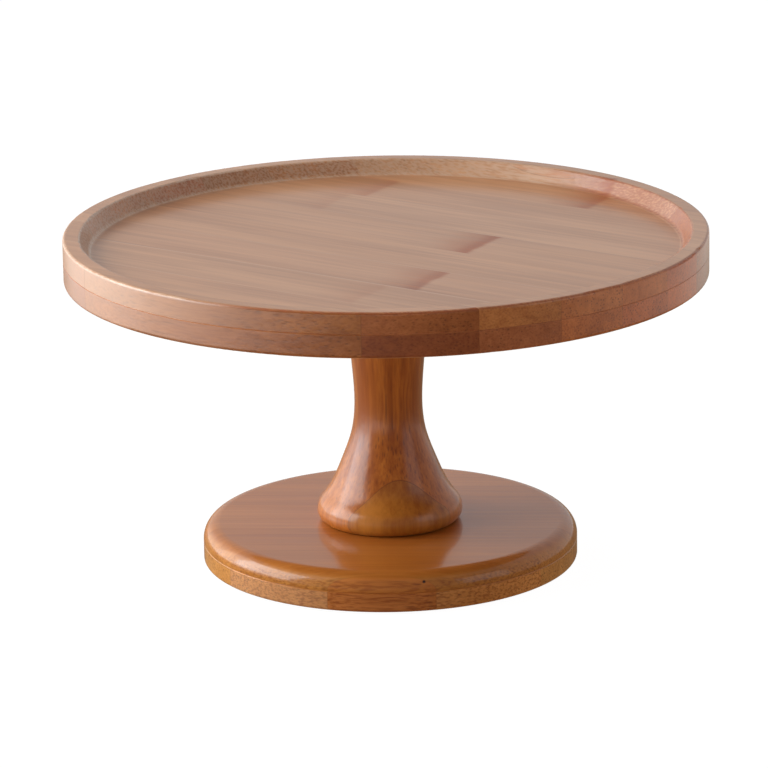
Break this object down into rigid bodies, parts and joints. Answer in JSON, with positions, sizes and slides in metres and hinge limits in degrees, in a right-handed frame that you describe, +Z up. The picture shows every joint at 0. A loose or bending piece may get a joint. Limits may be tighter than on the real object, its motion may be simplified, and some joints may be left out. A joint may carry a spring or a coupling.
{
  "type": "cake stand",
  "caption": "Footed cake stand of laminated bamboo: a round rimmed tray that unscrews from a turned pedestal on a round base with soft feet.",
  "frame": {"origin": "centre of the footprint, on the table under the foot pads", "axes": "+Z up along the pedestal's axis, -Y towards the side that the tray's strips cross from back left to front right, +X to the right"},
  "size_m": [0.25, 0.25, 0.133],
  "materials": {
    "tray_bamboo": "satin lacquer over pale carbonised bamboo, long straight grain",
    "base_bamboo": "satin lacquer over carbonised bamboo, long straight grain",
    "pedestal_bamboo": "satin lacquer over carbonised bamboo, turned smooth",
    "zinc_steel": "bright zinc plate",
    "insert_brass": "plain machined brass",
    "washer_felt": "brown pressed felt",
    "foot_rubber": "matte soft rubber"
  },
  "bodies": {
    "stand": {"base_top_strip_1": "base_bamboo", "base_top_strip_2": "base_bamboo", "base_top_strip_3": "base_bamboo", "base_top_strip_4": "base_bamboo", "base_top_strip_5": "base_bamboo", "base_top_strip_6": "base_bamboo", "base_top_strip_7": "base_bamboo", "base_bottom_strip_1": "base_bamboo", "base_bottom_strip_2": "base_bamboo", "base_bottom_strip_3": "base_bamboo", "base_bottom_strip_4": "base_bamboo", "base_bottom_strip_5": "base_bamboo", "base_bottom_strip_6": "base_bamboo", "base_bottom_strip_7": "base_bamboo", "pedestal_front_foot_stave": "pedestal_bamboo", "pedestal_front_cap_stave": "pedestal_bamboo", "pedestal_middle_front_stave": "pedestal_bamboo", "pedestal_middle_back_stave": "pedestal_bamboo", "pedestal_back_foot_stave": "pedestal_bamboo", "pedestal_back_cap_stave": "pedestal_bamboo", "base_screw": "zinc_steel", "tray_stud": "zinc_steel", "foot_pad_back_right": "foot_rubber", "foot_pad_back_left": "foot_rubber", "foot_pad_front_left": "foot_rubber", "foot_pad_front_right": "foot_rubber"},
    "washer": {"tray_washer": "washer_felt"},
    "tray": {"tray_top_strip_1": "tray_bamboo", "tray_top_strip_2": "tray_bamboo", "tray_top_strip_3": "tray_bamboo", "tray_top_strip_4": "tray_bamboo", "tray_top_strip_5": "tray_bamboo", "tray_top_strip_6": "tray_bamboo", "tray_top_strip_7": "tray_bamboo", "tray_top_strip_8": "tray_bamboo", "tray_top_strip_9": "tray_bamboo", "tray_top_strip_10": "tray_bamboo", "tray_bottom_strip_1": "tray_bamboo", "tray_bottom_strip_2": "tray_bamboo", "tray_bottom_strip_3": "tray_bamboo", "tray_bottom_strip_4": "tray_bamboo", "tray_bottom_strip_5": "tray_bamboo", "tray_bottom_strip_6": "tray_bamboo", "tray_bottom_strip_7": "tray_bamboo", "tray_bottom_strip_8": "tray_bamboo", "tray_bottom_strip_9": "tray_bamboo", "tray_bottom_strip_10": "tray_bamboo", "tray_insert": "insert_brass"}
  },
  "joints": [
    {"name": "tray_turn", "type": "hinge", "parent": "stand", "child": "washer", "pos_m": [0, 0, 0.115], "axis": [0, 0, 1], "range_deg": [0, 2300]},
    {"name": "tray_lift", "type": "slide", "parent": "washer", "child": "tray", "axis": [0, 0, 1], "range_m": [0, 0.008]}
  ],
  "couplings": [
    {"joint": "tray_lift", "follows": "tray_turn", "m_per_rad": 0.00019894}
  ]
}
